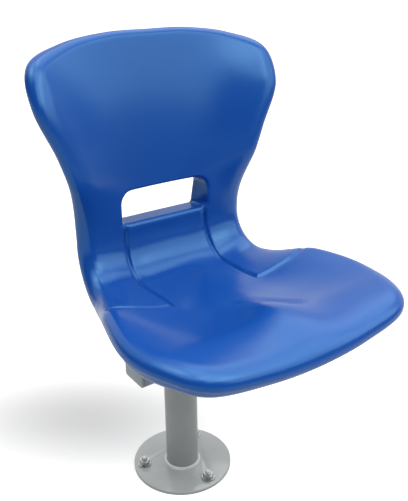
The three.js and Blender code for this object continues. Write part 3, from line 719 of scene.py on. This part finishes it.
def newTree(name, inputs):
    tree = bpy.data.node_groups.new(name, "GeometryNodeTree")
    tree.interface.new_socket(name="Geometry", in_out="INPUT", socket_type="NodeSocketGeometry")
    for label, kind in inputs:
        tree.interface.new_socket(name=label, in_out="INPUT", socket_type=kind)
    tree.interface.new_socket(name="Geometry", in_out="OUTPUT", socket_type="NodeSocketGeometry")
    return tree, tree.nodes.new("NodeGroupInput").outputs, tree.nodes.new("NodeGroupOutput")


def finishTree(tree, pieces, entry, result):
    # every tree ends with its instances made real and its material set
    joined = addNode(tree, "GeometryNodeJoinGeometry")
    for piece in pieces:
        tree.links.new(piece, joined.inputs[0])
    real = addNode(tree, "GeometryNodeRealizeInstances", i0=joined.outputs[0])
    painted = addNode(tree, "GeometryNodeSetMaterial", i0=real.outputs[0])
    tree.links.new(entry["Material"], painted.inputs["Material"])
    tree.links.new(painted.outputs[0], result.inputs[0])


def makeThreadTree():
    tree, entry, result = newTree("threadedStud", [
        ("Radius", "NodeSocketFloat"), ("Length", "NodeSocketFloat"), ("Pitch", "NodeSocketFloat"),
        ("Depth", "NodeSocketFloat"), ("Bevel", "NodeSocketFloat"), ("Steps", "NodeSocketInt"),
        ("Sides", "NodeSocketInt"), ("Material", "NodeSocketMaterial")])
    crest = addMaths(tree, "MULTIPLY", entry["Depth"], 0.5)
    core = addMaths(tree, "SUBTRACT", entry["Radius"], crest)
    plain = addMaths(tree, "SUBTRACT", entry["Length"], entry["Bevel"])
    turns = addMaths(tree, "DIVIDE", plain, entry["Pitch"])
    spiral = addNode(tree, "GeometryNodeCurveSpiral", Resolution=entry["Steps"], Rotations=turns,
                     Height=plain)
    tree.links.new(core, spiral.inputs["Start Radius"])
    tree.links.new(core, spiral.inputs["End Radius"])
    upright = addNode(tree, "GeometryNodeSetCurveNormal", {"mode": "Z_UP"}, Curve=spiral.outputs[0])
    section = addNode(tree, "GeometryNodeCurvePrimitiveCircle", Resolution=thread["ridgeSides"],
                      Radius=crest)
    ridge = addNode(tree, "GeometryNodeCurveToMesh", Curve=upright.outputs[0])
    tree.links.new(section.outputs[0], ridge.inputs["Profile Curve"])
    ridge.inputs["Fill Caps"].default_value = True
    flat = addNode(tree, "GeometryNodeSetShadeSmooth", i0=ridge.outputs[0])
    flat.inputs["Shade Smooth"].default_value = False
    rod = addNode(tree, "GeometryNodeMeshCylinder", Vertices=entry["Sides"], Radius=core, Depth=plain)
    middle = addNode(tree, "ShaderNodeCombineXYZ", Z=addMaths(tree, "MULTIPLY", plain, 0.5))
    raised = addNode(tree, "GeometryNodeTransform", Geometry=rod.outputs[0], Translation=middle.outputs[0])
    tip = addNode(tree, "GeometryNodeMeshCone", Vertices=entry["Sides"], Depth=entry["Bevel"])
    tree.links.new(core, tip.inputs["Radius Bottom"])
    tree.links.new(addMaths(tree, "SUBTRACT", core, entry["Bevel"]), tip.inputs["Radius Top"])
    top = addNode(tree, "ShaderNodeCombineXYZ", Z=plain)
    capped = addNode(tree, "GeometryNodeTransform", Geometry=tip.outputs[0], Translation=top.outputs[0])
    finishTree(tree, [flat.outputs[0], raised.outputs[0], capped.outputs[0]], entry, result)
    return tree


def makeBeadTree():
    # overlapping beads along a ring, or along a line from Start to End, added to the weld's own solid
    tree, entry, result = newTree("weldBead", [
        ("Straight", "NodeSocketBool"), ("Ring Radius", "NodeSocketFloat"), ("Start", "NodeSocketVector"),
        ("End", "NodeSocketVector"), ("Count", "NodeSocketInt"), ("Bead Size", "NodeSocketVector"),
        ("Size Spread", "NodeSocketFloat"), ("Seed", "NodeSocketInt"), ("Material", "NodeSocketMaterial")])
    ring = addNode(tree, "GeometryNodeCurvePrimitiveCircle", Resolution=weldBead["ringSteps"],
                   Radius=entry["Ring Radius"])
    lifted = addNode(tree, "GeometryNodeTransform", Geometry=ring.outputs[0], Translation=entry["Start"])
    line = addNode(tree, "GeometryNodeCurvePrimitiveLine", Start=entry["Start"], End=entry["End"])
    route = addNode(tree, "GeometryNodeSwitch", {"input_type": "GEOMETRY"}, Switch=entry["Straight"])
    tree.links.new(lifted.outputs[0], route.inputs["False"])
    tree.links.new(line.outputs[0], route.inputs["True"])
    spots = addNode(tree, "GeometryNodeCurveToPoints", i0=route.outputs[0], Count=entry["Count"])
    drop = addNode(tree, "GeometryNodeMeshUVSphere", Segments=weldBead["beadSegments"],
                   Rings=weldBead["beadRings"], Radius=1.0)
    rounded = addNode(tree, "GeometryNodeSetShadeSmooth", i0=drop.outputs[0])
    least = addMaths(tree, "SUBTRACT", 1.0, entry["Size Spread"])
    vary = addNode(tree, "FunctionNodeRandomValue", {"data_type": "FLOAT"}, Min=least, Max=1.0,
                   Seed=entry["Seed"])
    size = addNode(tree, "ShaderNodeVectorMath", {"operation": "SCALE"}, i0=entry["Bead Size"])
    tree.links.new(vary.outputs[1], size.inputs["Scale"])
    beads = addNode(tree, "GeometryNodeInstanceOnPoints", Points=spots.outputs["Points"],
                    Instance=rounded.outputs[0], Rotation=spots.outputs["Rotation"], Scale=size.outputs[0])
    finishTree(tree, [entry["Geometry"], beads.outputs[0]], entry, result)
    return tree


def growMesh(name, mesh, tree, values):
    # runs a tree on a mesh and gives back its result as a plain mesh
    piece = bpy.data.objects.new(name, mesh)
    bpy.context.scene.collection.objects.link(piece)
    grower = piece.modifiers.new(name, "NODES")
    grower.node_group = tree
    for item in tree.interface.items_tree:
        if item.in_out == "INPUT" and item.name in values:
            grower[item.identifier] = values[item.name]
    bpy.context.view_layer.update()
    depsgraph = bpy.context.evaluated_depsgraph_get()
    grown = bpy.data.meshes.new_from_object(piece.evaluated_get(depsgraph), depsgraph=depsgraph)
    grown.name = name
    bpy.data.objects.remove(piece)
    return grown


def nodeBox(name):
    corners = np.array([v.co[:] for v in nodes[name].data.vertices])
    return corners.min(0), corners.max(0)


threadTree = makeThreadTree()
beadTree = makeBeadTree()
for name in sorted(nodes):
    if name.startswith("anchor_stud"):
        low, high = nodeBox(name)
        radius = (high[0] - low[0]) / 2
        stud = growMesh(camelName(name), bpy.data.meshes.new(name), threadTree, {
            "Radius": float(radius), "Length": float(high[2] - low[2]), "Pitch": thread["pitch"] * mm,
            "Depth": thread["depth"] * mm, "Bevel": thread["bevel"] * mm, "Steps": thread["stepsPerTurn"],
            "Sides": thread["sides"], "Material": brightZinc})
        stud.transform(Matrix.Translation(((low[0] + high[0]) / 2, (low[1] + high[1]) / 2, low[2])))
        fitPiece(linkPiece(camelName(name) + "Thread", stud, brightZinc), name)


def growWeld(name, values, runLength, coat=greyPowderCoat):
    values |= {"Count": round(runLength / (weldBead["spacing"] * mm)), "Seed": weldBead["seed"],
               "Bead Size": Vector(weldBead["size"]) * mm, "Size Spread": weldBead["sizeSpread"],
               "Material": coat}
    grown = growMesh(camelName(name), smoothMesh(name), beadTree, values)
    fitPiece(linkPiece(camelName(name) + "Ripple", grown, coat), name)


# the foot weld takes the lighter coat, a painted highlight; the head weld keeps the plain coat
for name, side in weldBead["rings"].items():
    low, high = nodeBox(name)
    leg = high[2] - low[2]
    radius = (high[0] - low[0]) / 2 - leg * (1 - weldBead["inset"])
    height = low[2] + leg * (weldBead["inset"] if side > 0 else 1 - weldBead["inset"])
    growWeld(name, {"Straight": False, "Ring Radius": float(radius), "Start": (0.0, 0.0, float(height))},
             2 * math.pi * radius, paleWeldCoat if side > 0 else greyPowderCoat)
for name in weldBead["seams"]:
    low, high = nodeBox(name)
    axis = int(np.argmax(high - low))
    start, end = (low + high) / 2, (low + high) / 2
    start[axis], end[axis] = low[axis], high[axis]
    growWeld(name, {"Straight": True, "Start": start.tolist(), "End": end.tolist()}, high[axis] - low[axis])
print("threads and weld ripples grown")


# floor, world and lamps: both floor patches are ovals in metres, dimmed to a level at their middle; the patch
# under the seat is a painted shadow in the floor's glow, and the patch in front is a painted dark reflection
# that the camera still sees as white
studio = {
    "floorSize": 30.0, "floorColour": (0.6, 0.6, 0.6), "floorRoughness": 0.9,
    "floorGlow": 0.78, "floorMirrored": 0.35, "ambient": 0.3,
    # painted shadow of the seat: an oval where the floor's glow is dimmed
    "underSeat": {"place": (-0.105, 0.245), "turn": -37, "size": (0.56, 0.31), "level": 0.04},
    # painted dark reflection: the floor in front is dark in reflections and bounce light, while its glow
    # keeps it white to the camera
    "frontDim": {"place": (2.2, -4.2), "turn": 0, "size": (7.5, 4.9), "level": 0.0},
    "brightSide": (0.6, 0.6, 1.0), "brightReach": (0.25, 0.6), "darkSide": 0.1,
}
lamps = {
    "keyLamp": {"kind": "AREA", "place": (0.1, -1.1, 1.75), "aim": (0, 0, 0.4), "size": 1.2, "energy": 12},
    "sideLamp": {"kind": "AREA", "place": (1.0, -1.45, 1.5), "aim": (0, 0, 0.55), "size": 1.6, "energy": 16},
    "fillLamp": {"kind": "SUN", "place": (-0.3, 0.0, 1.0), "aim": (0, 0, 0), "size": 66, "energy": 1.6},
    "overLamp": {"kind": "SUN", "place": (0.45, 0.15, 0.85), "aim": (0, 0, 0), "size": 50, "energy": 0.9},
    "crestLamp": {"kind": "AREA", "place": (-0.7, 0, 1.8), "aim": (-0.15, 0, 0.7), "size": 0.5, "energy": 2},
}


def whiteForSeenRays(tree, mirrored):
    # one for camera and see-through rays, the given level in a reflection, nothing for light
    path = addNode(tree, "ShaderNodeLightPath")
    glossy = addMaths(tree, "MULTIPLY", path.outputs["Is Glossy Ray"], mirrored)
    either = addMaths(tree, "MAXIMUM", path.outputs["Is Camera Ray"], glossy)
    return addMaths(tree, "MAXIMUM", either, path.outputs["Is Transmission Ray"])


def makeWorld():
    world = bpy.data.worlds.new("paleStudio")
    bpy.context.scene.world = world
    world.use_nodes = True
    tree = world.node_tree
    background = tree.nodes["Background"]
    background.inputs["Color"].default_value = (1, 1, 1, 1)
    direction = addNode(tree, "ShaderNodeTexCoord").outputs["Generated"]
    side = addNode(tree, "ShaderNodeVectorMath", {"operation": "DOT_PRODUCT"}, i0=direction,
                   i1=studio["brightSide"])
    start, end = studio["brightReach"]
    mirrored = addNode(tree, "ShaderNodeMapRange", i0=side.outputs["Value"], i1=start, i2=end,
                       i3=studio["darkSide"], i4=1.0)
    glossy = addNode(tree, "ShaderNodeLightPath").outputs["Is Glossy Ray"]
    unseen = addNode(tree, "ShaderNodeMapRange", i0=glossy, i3=studio["ambient"], i4=0.0)
    strength = addMaths(tree, "MAXIMUM", unseen.outputs[0], whiteForSeenRays(tree, mirrored.outputs[0]))
    tree.links.new(strength, background.inputs["Strength"])


def patchLevel(tree, place, patch):
    # level of an oval patch of floor, rising to one at its rim
    spot = addNode(tree, "ShaderNodeMapping", {"vector_type": "TEXTURE"}, Vector=place,
                   Location=(*patch["place"], 0), Rotation=(0, 0, math.radians(patch["turn"])),
                   Scale=(*patch["size"], 1))
    away = addNode(tree, "ShaderNodeVectorMath", {"operation": "LENGTH"}, i0=spot.outputs[0])
    return addNode(tree, "ShaderNodeMapRange", {"interpolation_type": "SMOOTHSTEP"}, i0=away.outputs["Value"],
                   i3=patch["level"], i4=1.0).outputs[0]


def makeFloor():
    material = bpy.data.materials.new("paleFloor")
    material.use_nodes = True
    tree = material.node_tree
    shader = tree.nodes["Principled BSDF"]
    shader.inputs["Roughness"].default_value = studio["floorRoughness"]
    shader.inputs["Specular IOR Level"].default_value = 0.0
    shader.inputs["Emission Color"].default_value = (1, 1, 1, 1)
    place = addNode(tree, "ShaderNodeTexCoord").outputs["Object"]
    # the front patch darkens the floor's colour, and so its bounce light, as a painted dark reflection
    front = patchLevel(tree, place, studio["frontDim"])
    paper = addNode(tree, "ShaderNodeVectorMath", {"operation": "SCALE"}, i0=studio["floorColour"])
    tree.links.new(front, paper.inputs["Scale"])
    tree.links.new(paper.outputs[0], shader.inputs["Base Color"])
    # in reflections the floor glows only at the floorMirrored level and goes dark in the front patch: a
    # painted dark reflection
    seen = whiteForSeenRays(tree, addMaths(tree, "MULTIPLY", front, studio["floorMirrored"]))
    # the floor's glow is dimmed in the oval under the seat: a painted shadow
    shaded = addMaths(tree, "MULTIPLY", seen, patchLevel(tree, place, studio["underSeat"]))
    level = addNode(tree, "ShaderNodeMapRange", i0=front, i3=1.0, i4=studio["floorGlow"])
    glow = addMaths(tree, "MULTIPLY", shaded, level.outputs[0])
    tree.links.new(glow, shader.inputs["Emission Strength"])
    half = studio["floorSize"] / 2
    mesh = bpy.data.meshes.new("floor")
    corners = [(-half, -half, 0), (half, -half, 0), (half, half, 0), (-half, half, 0)]
    mesh.from_pydata(corners, [], [(0, 1, 2, 3)])
    linkPiece("floor", mesh, material)


def makeLamp(name, lamp):
    # a square softbox in metres, or a distant lamp with a wide disc in degrees
    data = bpy.data.lights.new(name, lamp["kind"])
    data.energy = lamp["energy"]
    if lamp["kind"] == "AREA":
        data.size = lamp["size"]
    else:
        data.angle = math.radians(lamp["size"])
    piece = bpy.data.objects.new(name, data)
    bpy.context.scene.collection.objects.link(piece)
    piece.location = lamp["place"]
    piece.rotation_euler = (Vector(lamp["aim"]) - Vector(lamp["place"])).to_track_quat("-Z", "Y").to_euler()


makeWorld()
makeFloor()
for name, lamp in lamps.items():
    makeLamp(name, lamp)
bpy.context.scene.view_settings.view_transform = "Standard"
print("studio made")
